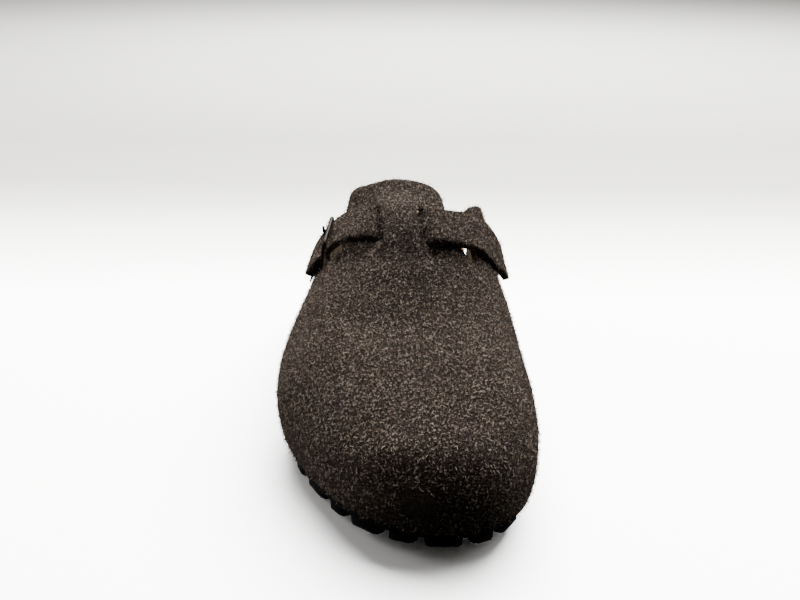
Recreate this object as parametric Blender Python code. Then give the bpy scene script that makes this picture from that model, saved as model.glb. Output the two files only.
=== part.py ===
# Clog slipper for the right foot.
# A felt upper with one strap and a buckle stands on a cork footbed and a lugged foam outsole.
# The toe points to -Y, the inner side of the foot is +X and up is +Z. Lengths are in metres.

import math

import bmesh
import bpy
import numpy as np
from mathutils import Vector
from mathutils.geometry import delaunay_2d_cdt

# Overall sizes
SOLE_LENGTH = 0.278
SOLE_WIDTH = 0.1035
VAMP_HEIGHT = 0.0976
WIDEST_HEIGHT = 0.030
TOE_SPRING = 0.009
CLEARANCE = 0.0003

# Felt upper
FELT = 0.0035
UPPER_BULGE = 0.0015
UPPER_TUCK = 0.0025
TOE_FULLNESS = 4.5
SLIT_WIDTH = 0.0066
STRIP_WIDTH = 0.0150
STRIP_LIFT = 0.0032
STRIP_FADE = 0.007
SLIT_ROOM = 0.0019

# Strap
STRAP_FELT = 0.0030
STRAP_WIDTH = 0.0160
STRAP_OUTER_REACH = 0.0530
STRAP_INNER_REACH = 0.0610
END_SHARE = 0.55
HOLE_WIDTH = 0.0032

# Buckle
BAR_RADIUS = 0.0010
PRONG_RADIUS = 0.0007
FRAME_LENGTH = 0.0150
FRAME_ROOM = 0.0008
DIP_ROOM = 0.0010
TAB_FELT = 0.0009
TAB_WIDTH = 0.0110
TAB_LENGTH = 0.0110
PIVOT_SHARE = 0.866

# Footbed, insole and outsole
FOOTBED_ROOM = 0.0004
FOOTBED_LEAN = 0.0006
RIM_ROUNDING = 0.0014
DISH_POWER = 3.4
INSOLE_THICKNESS = 0.0015
INSOLE_MARGIN = 0.0012
SLAB_INSET = 0.0020
SLAB_TAPER = 0.0006
LUG_INSET = 0.0007
LUG_HEIGHT = 0.0045
LUG_GAP = 0.0030
LUG_ROUNDING = 0.0026
LUG_DEPTH = 0.0140
LUG_PAIRS = 19
LONG_LUG_SHARE = 0.57
BAR_SHARE = 0.0305

# Faceting
OUTLINE_SAMPLES = 1440
RIB_SAMPLES = 64
LOWER_SAMPLES = 12
STATIONS = 90
EDGE_STEP = 0.0052
OUTER_STEP = 0.0068
INNER_STEP = 0.0088
BED_STEP = 0.0125
STRAP_STEP = 0.0056
BAR_SIDES = 8
ARC_STEPS = 6

# Plan of the sole from the heel along the inner side: across and along
OUTLINE = (
    (0.0000, 1.0000),
    (0.1932, 0.9748),
    (0.2995, 0.9209),
    (0.3333, 0.8453),
    (0.3285, 0.7554),
    (0.3333, 0.6655),
    (0.3575, 0.5755),
    (0.4068, 0.4680),
    (0.4406, 0.3773),
    (0.4580, 0.2871),
    (0.4715, 0.2086),
    (0.4647, 0.1360),
    (0.4155, 0.0676),
    (0.2976, 0.0187),
    (0.1266, 0.0014),
    (-0.0135, 0.0108),
    (-0.1517, 0.0345),
    (-0.2667, 0.0755),
    (-0.3729, 0.1327),
    (-0.4715, 0.1993),
    (-0.5140, 0.2795),
    (-0.4995, 0.3597),
    (-0.4773, 0.4381),
    (-0.4483, 0.5324),
    (-0.4106, 0.6187),
    (-0.3768, 0.7014),
    (-0.3575, 0.7734),
    (-0.3478, 0.8561),
    (-0.2995, 0.9281),
    (-0.1836, 0.9784),
)

# Height of the last's ridge line: along, height
RIDGE = (
    (0.0000, 0.5320),
    (0.0719, 0.5500),
    (0.1439, 0.5780),
    (0.2158, 0.6280),
    (0.2878, 0.7060),
    (0.3165, 0.7430),
    (0.3597, 0.8020),
    (0.4137, 0.8800),
    (0.4604, 0.9450),
    (0.5036, 1.0000),
    (0.5755, 1.0820),
    (0.6475, 1.1560),
    (0.7554, 1.2470),
)

# Place of the ridge line: along, across
RIDGE_PATH = (
    (0.0000, 0.0193),
    (0.3165, 0.0000),
    (0.3993, -0.0406),
    (0.4676, -0.0493),
    (0.7554, -0.0386),
    (1.0000, -0.0193),
)

# Fullness of the cross sections: along, outer side, outer roof, inner side, inner roof
FULLNESS = (
    (0.3165, 2.45, 2.00, 2.75, 2.15),
    (0.4029, 2.12, 1.66, 2.85, 2.22),
    (0.4676, 2.05, 1.62, 3.10, 2.40),
    (0.5252, 2.18, 1.70, 3.55, 2.80),
    (0.6000, 2.40, 1.90, 3.10, 2.45),
    (0.7554, 2.50, 2.00, 2.70, 2.10),
)

# Edge of the vamp and tongue from the inner notch to the outer notch: across, along
TONGUE = (
    (0.2493, 0.3651),
    (0.2155, 0.3759),
    (0.1903, 0.3885),
    (0.1700, 0.4101),
    (0.1546, 0.4388),
    (0.1449, 0.4676),
    (0.1275, 0.4863),
    (0.0908, 0.4996),
    (0.0193, 0.5083),
    (-0.0870, 0.5126),
    (-0.2077, 0.5126),
    (-0.2647, 0.5072),
    (-0.2860, 0.4942),
    (-0.2821, 0.4712),
    (-0.2725, 0.4388),
    (-0.2686, 0.4173),
    (-0.2754, 0.4029),
    (-0.2908, 0.3885),
    (-0.3092, 0.3651),
)

# Top edge of the inner quarter from the notch to the heel side: along, height
INNER_QUARTER = (
    (0.3777, 0.7541),
    (0.3935, 0.7684),
    (0.4173, 0.8094),
    (0.4388, 0.8504),
    (0.4604, 0.8873),
    (0.4820, 0.8996),
    (0.5036, 0.8893),
    (0.5252, 0.8627),
    (0.5468, 0.8279),
    (0.5755, 0.7787),
    (0.6187, 0.6916),
    (0.6691, 0.5840),
    (0.7086, 0.5020),
    (0.7302, 0.4201),
    (0.7356, 0.3279),
    (0.7320, 0.2300),
)

# Top edge of the outer quarter in front of the dip for the buckle: along, height
OUTER_SHOULDER = (
    (0.3813, 0.7234),
    (0.3942, 0.7377),
)

# Top edge of the outer quarter behind the dip: along, height
OUTER_EAR = (
    (0.5162, 0.7746),
    (0.5288, 0.7807),
    (0.5504, 0.7633),
    (0.5827, 0.7223),
    (0.6259, 0.6455),
    (0.6691, 0.5635),
    (0.7086, 0.4918),
    (0.7302, 0.4201),
    (0.7356, 0.3279),
    (0.7320, 0.2295),
)

# Centre line of the strap from its outer end to its inner end: reach, along
STRAP_PATH = (
    (-1.0000, 0.4561),
    (-0.8679, 0.4532),
    (-0.6604, 0.4468),
    (-0.4717, 0.4363),
    (-0.3208, 0.4219),
    (-0.2264, 0.4122),
    (-0.1321, 0.4065),
    (0.0000, 0.4040),
    (0.1148, 0.4018),
    (0.2131, 0.4014),
    (0.3197, 0.4036),
    (0.4180, 0.4097),
    (0.5656, 0.4245),
    (0.7049, 0.4374),
    (0.8689, 0.4496),
    (1.0000, 0.4561),
)

# Height of the strap's middle over the last beside the slits, in strap thicknesses: reach, height
STRAP_LIFT = (
    (-1.0000, 1.00),
    (-0.8679, 1.02),
    (-0.7358, 1.00),
    (-0.5849, 0.94),
    (-0.4528, 0.90),
    (-0.3491, 0.86),
    (0.3115, 0.90),
    (0.4180, 1.08),
    (0.5656, 1.40),
    (0.7049, 1.40),
    (0.8525, 1.20),
    (1.0000, 1.05),
)

# The same through a slit, from the strip's edge to the slit's far edge: share of the slit, height
SLIT_LIFT = (
    (0.00, -0.93),
    (0.52, -0.10),
    (1.00, 0.80),
)

# Spare hole in the strap's tail: reach
SPARE_HOLES = (-0.9350,)

# Height of the outsole's underside: along, share of the toe spring
SPRING = (
    (0.0000, 0.860),
    (0.0144, 0.830),
    (0.0719, 0.500),
    (0.1151, 0.310),
    (0.1700, 0.120),
    (0.2150, 0.025),
    (0.2500, 0.000),
    (1.0000, 0.000),
)

# Footbed and outsole heights: along, outsole top, floor, outer rim, inner rim
BED = (
    (0.0000, 0.0080, 0.0170, 0.0180, 0.0180),
    (0.0719, 0.0082, 0.0160, 0.0180, 0.0180),
    (0.1799, 0.0088, 0.0165, 0.0190, 0.0190),
    (0.3237, 0.0098, 0.0185, 0.0215, 0.0225),
    (0.4317, 0.0104, 0.0215, 0.0245, 0.0280),
    (0.5396, 0.0110, 0.0245, 0.0295, 0.0350),
    (0.6475, 0.0115, 0.0270, 0.0335, 0.0385),
    (0.7734, 0.0120, 0.0275, 0.0360, 0.0390),
    (0.8813, 0.0120, 0.0275, 0.0370, 0.0380),
    (1.0000, 0.0120, 0.0285, 0.0370, 0.0370),
)

# Centres the plan's ribs turn about at the toe and at the heel
TOE_CENTRE = 0.3165
HEEL_CENTRE = 0.8600

# Rest pads under the ball and the heel: across, along, width, length
PADS = (
    (-0.0300, 0.3050, 0.290, 0.0980),
    (-0.0100, 0.8600, 0.180, 0.0880),
)

# Cross bars of the tread between the lugs: along
BARS = (
    0.1300,
    0.1830,
    0.2360,
    0.3850,
    0.4380,
    0.4910,
    0.5440,
    0.5970,
    0.6500,
    0.7030,
    0.7560,
)

# Surface colours and roughness: node, red, green, blue, roughness, metallic
SURFACES = (
    ("outsole", 0.012, 0.012, 0.013, 0.70, 0.0),
    ("footbed", 0.330, 0.190, 0.100, 0.85, 0.0),
    ("insole", 0.700, 0.600, 0.480, 0.90, 0.0),
    ("upper", 0.085, 0.064, 0.050, 0.95, 0.0),
    ("strap", 0.085, 0.064, 0.050, 0.95, 0.0),
    ("buckle_tab", 0.060, 0.045, 0.036, 0.90, 0.0),
    ("buckle_frame", 0.600, 0.590, 0.570, 0.30, 1.0),
    ("buckle_prong", 0.600, 0.590, 0.570, 0.30, 1.0),
)

INNER_SIDE = 1.0
OUTER_SIDE = -1.0
TINY = 1e-9


# Tables and curves

def table(rows):
    return np.array(rows, float)


def smooth(knots, values, at):
    """Curve through a table's rows, with the slope of the neighbouring rows at each."""
    at = np.clip(at, knots[0], knots[-1])
    slopes = np.gradient(values, knots)
    row = np.clip(np.searchsorted(knots, at, side="right") - 1, 0, len(knots) - 2)
    width = knots[row + 1] - knots[row]
    share = (at - knots[row]) / width
    square = share * share
    cube = square * share
    start = values[row] * (2 * cube - 3 * square + 1) + slopes[row] * width * (cube - 2 * square + share)
    end = values[row + 1] * (3 * square - 2 * cube) + slopes[row + 1] * width * (cube - square)
    return start + end


def path_length(points):
    steps = np.linalg.norm(np.diff(points, axis=0), axis=1)
    return np.concatenate([[0.0], np.cumsum(steps)])


def respaced(points, step):
    """Points at even spacing along a smooth curve through the given ones, ends kept."""
    knots = path_length(points)
    count = max(2, int(round(knots[-1] / step)) + 1)
    at = np.linspace(0.0, knots[-1], count)
    return np.stack([smooth(knots, points[:, column], at) for column in range(points.shape[1])], axis=1)


def closed_outline(points, count):
    """Even points round a closed smooth curve."""
    extra = 3
    wrapped = np.vstack([points[-extra:], points, points[:extra + 1]])
    knots = path_length(wrapped)
    fine = np.linspace(knots[extra], knots[extra + len(points)], count * 4 + 1)
    dense = np.stack([smooth(knots, wrapped[:, column], fine) for column in range(2)], axis=1)
    length = path_length(dense)
    at = np.linspace(0.0, length[-1], count, endpoint=False)
    return np.stack([np.interp(at, length, dense[:, column]) for column in range(2)], axis=1)


def outward(curve):
    """Unit directions pointing out of a closed curve that runs from the heel along the inner side."""
    along = np.roll(curve, -1, axis=0) - np.roll(curve, 1, axis=0)
    along /= np.linalg.norm(along, axis=1)[:, None]
    return np.stack([-along[:, 1], along[:, 0]], axis=1)


PLAN = closed_outline(table(OUTLINE) * [SOLE_WIDTH, SOLE_LENGTH], OUTLINE_SAMPLES)
PLAN_OUT = outward(PLAN)
WALL = PLAN + PLAN_OUT * UPPER_BULGE
RIDGE_ROWS = table(RIDGE) * [SOLE_LENGTH, VAMP_HEIGHT]
RIDGE_PATH_ROWS = table(RIDGE_PATH) * [SOLE_LENGTH, SOLE_WIDTH]
FULLNESS_ROWS = table(FULLNESS) * [SOLE_LENGTH, 1, 1, 1, 1]
SPRING_ROWS = table(SPRING) * [SOLE_LENGTH, TOE_SPRING]
BED_ROWS = table(BED) * [SOLE_LENGTH, 1, 1, 1, 1]
PATH_ROWS = table(STRAP_PATH) * [1, SOLE_LENGTH]
STRAP_UNIT = (STRAP_OUTER_REACH + STRAP_INNER_REACH) / 2


def ridge_height(along):
    return smooth(RIDGE_ROWS[:, 0], RIDGE_ROWS[:, 1], along)


def ridge_across(along):
    return smooth(RIDGE_PATH_ROWS[:, 0], RIDGE_PATH_ROWS[:, 1], along)


def fullness(along, column):
    return smooth(FULLNESS_ROWS[:, 0], FULLNESS_ROWS[:, column], along)


def spring(along):
    return np.maximum(smooth(SPRING_ROWS[:, 0], SPRING_ROWS[:, 1], along), 0.0)


def bed(along, column):
    return spring(along) + smooth(BED_ROWS[:, 0], BED_ROWS[:, column], along)


def sole_top(along):
    return bed(along, 1)


# The last's surface, worked from a flat pattern of it

def fan_rows(centre, forward):
    """Wall points met by rays from a centre, by their angle from straight ahead."""
    away = WALL - centre
    ahead = away[:, 1] * forward
    keep = ahead > -SOLE_WIDTH / 8
    angle = np.arctan2(away[keep, 0], ahead[keep])
    order = np.argsort(angle)
    return np.column_stack([angle, WALL[keep], PLAN_OUT[keep]])[order]


def side_rows(side):
    """Wall points of one side between the toe's and the heel's centre, by their place along."""
    keep = WALL[:, 0] * side > SOLE_WIDTH / 8
    rows = np.column_stack([WALL[keep, 1], WALL[keep], PLAN_OUT[keep]])
    return rows[np.argsort(rows[:, 0])]


TOE_S = TOE_CENTRE * SOLE_LENGTH
HEEL_S = HEEL_CENTRE * SOLE_LENGTH
TOE_ROWS = fan_rows(np.array([ridge_across(TOE_S), TOE_S]), -1.0)
HEEL_ROWS = fan_rows(np.array([ridge_across(HEEL_S), HEEL_S]), 1.0)
INNER_ROWS = side_rows(INNER_SIDE)
OUTER_ROWS = side_rows(OUTER_SIDE)


def wall_point(centre, direction):
    """Wall point and its outward direction that each ray meets."""
    angle = np.arctan2(direction[:, 0], np.abs(direction[:, 1]))
    level = np.abs(direction[:, 1]) < TINY
    inner = direction[:, 0] > 0
    cases = (
        (direction[:, 1] <= -TINY, angle, TOE_ROWS),
        (direction[:, 1] >= TINY, angle, HEEL_ROWS),
        (level & inner, centre[:, 1], INNER_ROWS),
        (level & ~inner, centre[:, 1], OUTER_ROWS),
    )
    found = np.zeros((len(centre), 4))
    for rows, key, known in cases:
        for column in range(4):
            found[rows, column] = np.interp(key[rows], known[:, 0], known[:, column + 1])
    return found


def rays(flat):
    """Centre, direction and distance of points given across and along."""
    along = np.clip(flat[:, 1], TOE_S, HEEL_S)
    centre = np.stack([ridge_across(along), along], axis=1)
    away = flat - centre
    distance = np.linalg.norm(away, axis=1)
    safe = np.maximum(distance, TINY)[:, None]
    direction = np.where(distance[:, None] > TINY, away / safe, [[1.0, 0.0]])
    return centre, direction, distance


def ribs(centre, direction):
    """Rib of the last from the ridge line down to the outsole for each ray."""
    edge = wall_point(centre, direction)
    ahead = (direction[:, 1] ** 2 * (direction[:, 1] < 0))[:, None]
    inner = ((1.0 + direction[:, 0]) / 2)[:, None]
    share = np.cos(np.linspace(math.pi / 2, 0.0, RIB_SAMPLES))[None, :]
    across = centre[:, :1] + (edge[:, :1] - centre[:, :1]) * share
    along = centre[:, 1:2] + (edge[:, 1:2] - centre[:, 1:2]) * share
    side = fullness(along, 1) * (1 - inner) + fullness(along, 3) * inner
    side = side + (TOE_FULLNESS - side) * ahead
    roof = fullness(along, 2) * (1 - inner) + fullness(along, 4) * inner
    lift = np.clip(1.0 - share ** side, 0.0, 1.0) ** (1.0 / roof)
    height = WIDEST_HEIGHT + (ridge_height(along) - WIDEST_HEIGHT) * lift
    down = np.linspace(0.0, 1.0, LOWER_SAMPLES + 1)[None, 1:]
    base = sole_top(edge[:, 1:2]) + CLEARANCE
    tuck = UPPER_TUCK * down ** 2
    low_across = edge[:, :1] - edge[:, 2:3] * tuck
    low_along = edge[:, 1:2] - edge[:, 3:4] * tuck
    low_height = WIDEST_HEIGHT + (base - WIDEST_HEIGHT) * down
    upper_part = np.stack([across, along, height], axis=2)
    lower_part = np.stack([low_across, low_along, low_height], axis=2)
    rib = np.concatenate([upper_part, lower_part], axis=1)
    steps = np.linalg.norm(np.diff(rib, axis=1), axis=2)
    reach = np.concatenate([np.zeros((len(rib), 1)), np.cumsum(steps, axis=1)], axis=1)
    return rib, reach


def surface(flat):
    """Point on the last for each pattern point: distance over the surface from the ridge, and along."""
    centre, direction, distance = rays(flat)
    rib, reach = ribs(centre, direction)
    row = np.clip((reach < distance[:, None]).sum(axis=1) - 1, 0, reach.shape[1] - 2)
    each = np.arange(len(flat))
    start = reach[each, row]
    share = (distance - start) / (reach[each, row + 1] - start)
    return rib[each, row] + (rib[each, row + 1] - rib[each, row]) * share[:, None]


def felt_point(flat, offset):
    """Point at an offset outside the last for each pattern point."""
    step = FELT / 3
    here = surface(flat)
    sideways = surface(flat + [step, 0.0]) - surface(flat - [step, 0.0])
    lengthways = surface(flat + [0.0, step]) - surface(flat - [0.0, step])
    normal = np.cross(sideways, lengthways)
    base = sole_top(here[:, 1]) + CLEARANCE
    level = np.clip((here[:, 2] - base) / (WIDEST_HEIGHT - base), 0.0, 1.0)
    normal[:, 2] *= level
    normal /= np.linalg.norm(normal, axis=1)[:, None]
    return here + normal * np.asarray(offset).reshape(-1, 1)


def reach_at(along, side, value, column):
    """Distance over the surface from the ridge to a given place across (0) or height (2)."""
    centre = np.array([[ridge_across(along), along]])
    rib, reach = ribs(centre, np.array([[side, 0.0]]))
    key = rib[0, :, column]
    if column == 0:
        return np.interp(value * side, key[:RIB_SAMPLES] * side, reach[0, :RIB_SAMPLES])
    return np.interp(-value, -key, reach[0])


def flat_at(along, side, value, column):
    return [ridge_across(along) + side * reach_at(along, side, value, column), along]


# Meshes

def make_object(name, points, faces, collection):
    mesh = bpy.data.meshes.new(name)
    mesh.from_pydata([tuple(point) for point in points], [], faces)
    mesh.validate()
    made = bpy.data.objects.new(name, mesh)
    collection.objects.link(made)
    return made


def inside(points, loop):
    """Which points lie inside a closed loop."""
    following = np.roll(loop, -1, axis=0)
    result = np.zeros(len(points), bool)
    for first, second in zip(loop, following):
        crosses = (first[1] > points[:, 1]) != (second[1] > points[:, 1])
        rise = second[1] - first[1]
        if abs(rise) > TINY:
            place = first[0] + (points[:, 1] - first[1]) * (second[0] - first[0]) / rise
            result ^= crosses & (points[:, 0] < place)
    return result


def thinned(candidates, fixed, room):
    """Candidates that keep their distance from the fixed points and from each other."""
    kept = [point for point in fixed]
    count = len(kept)
    for point in candidates:
        gaps = np.hypot(*(np.array(kept) - point).T)
        if gaps.min() >= room:
            kept.append(point)
    return np.array(kept[count:]).reshape(-1, 2)


def triangles(loops, loose):
    """Flat triangles inside the first loop and outside the others: all points, faces."""
    points = np.vstack(loops + [loose]) if len(loose) else np.vstack(loops)
    edges = []
    start = 0
    for loop in loops:
        for index in range(len(loop)):
            edges.append((start + index, start + (index + 1) % len(loop)))
        start += len(loop)
    unit = np.abs(points).max()
    result = delaunay_2d_cdt([Vector(point / unit) for point in points], edges, [], 0, TINY)
    origin = [found[0] for found in result[3]]
    faces = [tuple(origin[corner] for corner in face) for face in result[2]]
    middles = np.array([points[list(face)].mean(axis=0) for face in faces])
    keep = inside(middles, loops[0])
    for loop in loops[1:]:
        keep &= ~inside(middles, loop)
    kept = []
    for face, good in zip(faces, keep):
        if good:
            first, second, third = points[list(face)]
            turn = (second[0] - first[0]) * (third[1] - first[1]) - (second[1] - first[1]) * (third[0] - first[0])
            kept.append(face if turn > 0 else face[::-1])
    return points, kept


def loop_spans(loops):
    spans = []
    start = 0
    for loop in loops:
        spans.append((start, len(loop)))
        start += len(loop)
    return spans


def sheet(name, loops, outer_loose, inner_loose, outer_map, inner_map, collection):
    """Closed body of a sheet: its outer skin, its inner skin and the walls round each loop."""
    outer_flat, outer_faces = triangles(loops, outer_loose)
    inner_flat, inner_faces = triangles(loops, inner_loose)
    points = np.vstack([outer_map(outer_flat), inner_map(inner_flat)])
    base = len(outer_flat)
    faces = [tuple(face) for face in outer_faces]
    faces += [tuple(base + corner for corner in reversed(face)) for face in inner_faces]
    for number, (start, count) in enumerate(loop_spans(loops)):
        for index in range(count):
            first = start + index
            second = start + (index + 1) % count
            faces.append((first, second, base + second, base + first))
    made = make_object(name, points, faces, collection)
    return face_outwards(made)


def face_outwards(made):
    work = bmesh.new()
    work.from_mesh(made.data)
    bmesh.ops.recalc_face_normals(work, faces=work.faces)
    bmesh.ops.triangulate(work, faces=work.faces)
    work.to_mesh(made.data)
    work.free()
    return made


def grid_points(loop, step):
    low = loop.min(axis=0)
    high = loop.max(axis=0)
    rows = np.arange(low[1], high[1], step * math.sqrt(3) / 2)
    points = []
    for number, along in enumerate(rows):
        shift = step / 2 if number % 2 else 0.0
        for across in np.arange(low[0] + shift, high[0], step):
            points.append((across, along))
    points = np.array(points)
    return points[inside(points, loop)]


# Upper

STATION_PICKS = np.arange(STATIONS) * OUTLINE_SAMPLES // STATIONS
REAR_S = INNER_QUARTER[-1][0] * SOLE_LENGTH


def wall_flat(picks, back_off):
    """Pattern points of the wall's lower edge at the given outline samples, some way up from it."""
    plan = WALL[picks]
    centre, direction, distance = rays(plan)
    rib, reach = ribs(centre, direction)
    return centre + direction * (reach[:, -1] - back_off)[:, None]


def rear_corner(side, along):
    centre = np.array([[ridge_across(along), along]])
    rib, reach = ribs(centre, np.array([[side, 0.0]]))
    return np.array([[ridge_across(along) + side * reach[0, -1], along]])


def quarter_edge(rows, side):
    edge = []
    for share, height in rows:
        edge.append(flat_at(share * SOLE_LENGTH, side, height * VAMP_HEIGHT, 2))
    return np.array(edge)


def tongue_edge():
    edge = []
    for across, share in TONGUE:
        place = across * SOLE_WIDTH
        along = share * SOLE_LENGTH
        side = INNER_SIDE if place > ridge_across(along) else OUTER_SIDE
        edge.append(flat_at(along, side, place, 0))
    return np.array(edge)


def strap_along(reach):
    """Place along of the strap's middle at a reach from the ridge."""
    share = np.where(reach < 0, reach / STRAP_OUTER_REACH, reach / STRAP_INNER_REACH)
    return smooth(PATH_ROWS[:, 0], PATH_ROWS[:, 1], share)


def slit_loop(side):
    """One slit beside the centre strip, as a narrow loop with cut corners."""
    near = STRIP_WIDTH / 2
    far = near + SLIT_WIDTH
    half = STRAP_WIDTH / 2 + SLIT_ROOM
    cut = SLIT_WIDTH / 6
    corners = (
        (near + cut, -half),
        (far - cut, -half),
        (far, cut - half),
        (far, -half / 3),
        (far, half / 3),
        (far, half - cut),
        (far - cut, half),
        (near + cut, half),
        (near, half - cut),
        (near, half / 3),
        (near, -half / 3),
        (near, cut - half),
    )
    loop = []
    for reach, beside in corners:
        along = float(strap_along(np.array(side * reach))) + beside
        loop.append((ridge_across(along) + side * reach, along))
    return np.array(loop)


def strip_lift(flat):
    """How far the centre strip is raised by the strap that passes under it."""
    reach = np.abs(flat[:, 0] - ridge_across(flat[:, 1]))
    inner = STRIP_WIDTH / 2
    sideways = np.clip((inner + SLIT_WIDTH * 0.8 - reach) / (SLIT_WIDTH * 0.8), 0.0, 1.0)
    middle = float(strap_along(np.array(0.0)))
    front = middle - STRAP_WIDTH / 2 - SLIT_ROOM
    back = middle + STRAP_WIDTH / 2 + SLIT_ROOM
    ahead = np.clip((flat[:, 1] - front + STRIP_FADE) / STRIP_FADE, 0.0, 1.0)
    behind = np.clip((back + STRIP_FADE - flat[:, 1]) / STRIP_FADE, 0.0, 1.0)
    fade = ahead * behind
    fade = fade * fade * (3 - 2 * fade)
    sideways = sideways * sideways * (3 - 2 * sideways)
    return STRIP_LIFT * sideways * fade


def upper_outline():
    tongue = tongue_edge()
    inner = quarter_edge(INNER_QUARTER, INNER_SIDE)
    shoulder = quarter_edge(OUTER_SHOULDER, OUTER_SIDE)
    ear = quarter_edge(OUTER_EAR, OUTER_SIDE)
    dip = dip_edge()
    shoulder = shoulder[shoulder[:, 1] < dip[0, 1]]
    ear = ear[ear[:, 1] > dip[-1, 1]]
    outer = np.vstack([shoulder, dip, ear])
    inner_low = rear_corner(INNER_SIDE, REAR_S)
    outer_low = rear_corner(OUTER_SIDE, REAR_S)
    top_inner = respaced(np.vstack([tongue[:1], inner, inner_low]), EDGE_STEP)
    top_outer = respaced(np.vstack([tongue[-1:], outer, outer_low]), EDGE_STEP)
    middle = respaced(tongue, EDGE_STEP)
    front = STATION_PICKS[WALL[STATION_PICKS, 1] < REAR_S - EDGE_STEP / 2]
    low = wall_flat(front, 0.0)
    return np.vstack([top_inner[::-1][:-1], middle, top_outer[1:-1], top_outer[-1:], low[::-1]])


def build_upper(collection):
    outline = upper_outline()
    slits = [slit_loop(INNER_SIDE), slit_loop(OUTER_SIDE)]
    front = STATION_PICKS[WALL[STATION_PICKS, 1] < REAR_S - EDGE_STEP / 2]
    loops = [outline] + slits

    def loose(step):
        rows = []
        levels = int(SOLE_WIDTH / step)
        for level in range(1, levels + 4):
            rows.append(wall_flat(front, level * step * 0.86))
        candidates = np.vstack(rows)
        candidates = candidates[inside(candidates, outline)]
        for slit in slits:
            candidates = candidates[~inside(candidates, slit)]
        strip = []
        for beside in (-0.6, -0.2, 0.2, 0.6):
            along = float(strap_along(np.array(0.0))) + beside * STRAP_WIDTH
            strip.append([ridge_across(along), along])
        spread = grid_points(outline, step)
        for slit in slits:
            spread = spread[~inside(spread, slit)]
        fixed = np.vstack(loops)
        dense_fixed = np.vstack([fixed, (fixed + np.roll(fixed, 1, axis=0)) / 2])
        return thinned(np.vstack([strip, candidates, spread]), dense_fixed, step * 0.72)

    def outer_map(flat):
        return felt_point(flat, strip_lift(flat))

    def inner_map(flat):
        return felt_point(flat, strip_lift(flat) - FELT)

    return sheet("upper", loops, loose(OUTER_STEP), loose(INNER_STEP), outer_map, inner_map, collection)


# Strap

def lift_rows():
    """Heights of the strap's middle over the last for shares of its reach."""
    beside = table(STRAP_LIFT)
    slit = table(SLIT_LIFT)
    reach = STRIP_WIDTH / 2 + slit[:, 0] * SLIT_WIDTH
    inner = np.column_stack([reach / STRAP_INNER_REACH, slit[:, 1]])
    outer = np.column_stack([-reach / STRAP_OUTER_REACH, slit[:, 1]])[::-1]
    middle = [[0.0, slit[0, 1]]]
    past_inner = beside[beside[:, 0] > inner[-1, 0]]
    past_outer = beside[beside[:, 0] < outer[0, 0]]
    return np.vstack([past_outer, outer, middle, inner, past_inner]) * [1, STRAP_FELT]


LIFT_ROWS = lift_rows()


def strap_reach(share):
    return np.where(share < 0, share * STRAP_OUTER_REACH, share * STRAP_INNER_REACH)


def strap_profile(share):
    """Middle of the strap over the last: its height, and the way off its middle."""
    small = 1e-3
    share = np.clip(share, small - 1, 1 - small)
    before = share - small
    after = share + small
    lift = smooth(LIFT_ROWS[:, 0], LIFT_ROWS[:, 1], share)
    run = strap_reach(after) - strap_reach(before)
    rise = smooth(LIFT_ROWS[:, 0], LIFT_ROWS[:, 1], after) - smooth(LIFT_ROWS[:, 0], LIFT_ROWS[:, 1], before)
    length = np.hypot(run, rise)
    return lift, -rise / length, run / length


def strap_point(flat, offset):
    """Point of the strap for shares along it and distances across it, off its middle."""
    share = flat[:, 0] / STRAP_UNIT
    small = 1e-3
    unit = np.where(share < 0, STRAP_OUTER_REACH, STRAP_INNER_REACH)
    centre = smooth(PATH_ROWS[:, 0], PATH_ROWS[:, 1], share)
    after = smooth(PATH_ROWS[:, 0], PATH_ROWS[:, 1], share + small)
    before = smooth(PATH_ROWS[:, 0], PATH_ROWS[:, 1], share - small)
    slope = (after - before) / (2 * small * unit)
    scale = np.sqrt(1 + slope ** 2)
    along = centre + flat[:, 1] / scale
    reach = strap_reach(share) - flat[:, 1] * slope / scale
    place = np.where(reach < 0, reach / STRAP_OUTER_REACH, reach / STRAP_INNER_REACH)
    lift, lean, upright = strap_profile(place)
    pattern = np.stack([ridge_across(along) + reach + lean * offset, along], axis=1)
    return felt_point(pattern, lift + upright * offset)


def strap_stations():
    """Shares along the strap, set closer where it dips through the slits."""
    limit = 1.0 - STRAP_WIDTH / 2 * END_SHARE / STRAP_UNIT
    near = STRIP_WIDTH / 2 - SLIT_WIDTH / 2
    far = STRIP_WIDTH / 2 + SLIT_WIDTH * 1.6
    shares = [-limit]
    while shares[-1] < limit:
        reach = abs(float(strap_reach(np.array(shares[-1]))))
        step = STRAP_STEP * 0.36 if near < reach < far else STRAP_STEP
        shares.append(shares[-1] + step / STRAP_UNIT)
    shares = np.array(shares)
    return (shares + limit) / (shares[-1] + limit) * 2 * limit - limit


def strap_outline():
    """Loop of the strap in shares along and distances across, with rounded ends."""
    half = STRAP_WIDTH / 2
    corner = half * END_SHARE
    stations = strap_stations() * STRAP_UNIT
    limit = stations[-1]
    loop = [(place, -half) for place in stations]
    for turn in np.linspace(-math.pi / 2, math.pi / 2, BAR_SIDES + 1)[1:-1]:
        loop.append((limit + corner * math.cos(turn), half * math.sin(turn)))
    loop += [(place, half) for place in stations[::-1]]
    for turn in np.linspace(math.pi / 2, 3 * math.pi / 2, BAR_SIDES + 1)[1:-1]:
        loop.append((stations[0] + corner * math.cos(turn), half * math.sin(turn)))
    return np.array(loop)


def hole_loop(share, half_length):
    radius = HOLE_WIDTH / 2
    room = half_length - radius
    loop = []
    for turn in np.linspace(0.0, 2 * math.pi, BAR_SIDES, endpoint=False) + math.pi / BAR_SIDES:
        push = room if math.cos(turn) > 0 else -room
        loop.append((share * STRAP_UNIT + push + radius * math.cos(turn), radius * math.sin(turn)))
    return np.array(loop)


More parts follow.
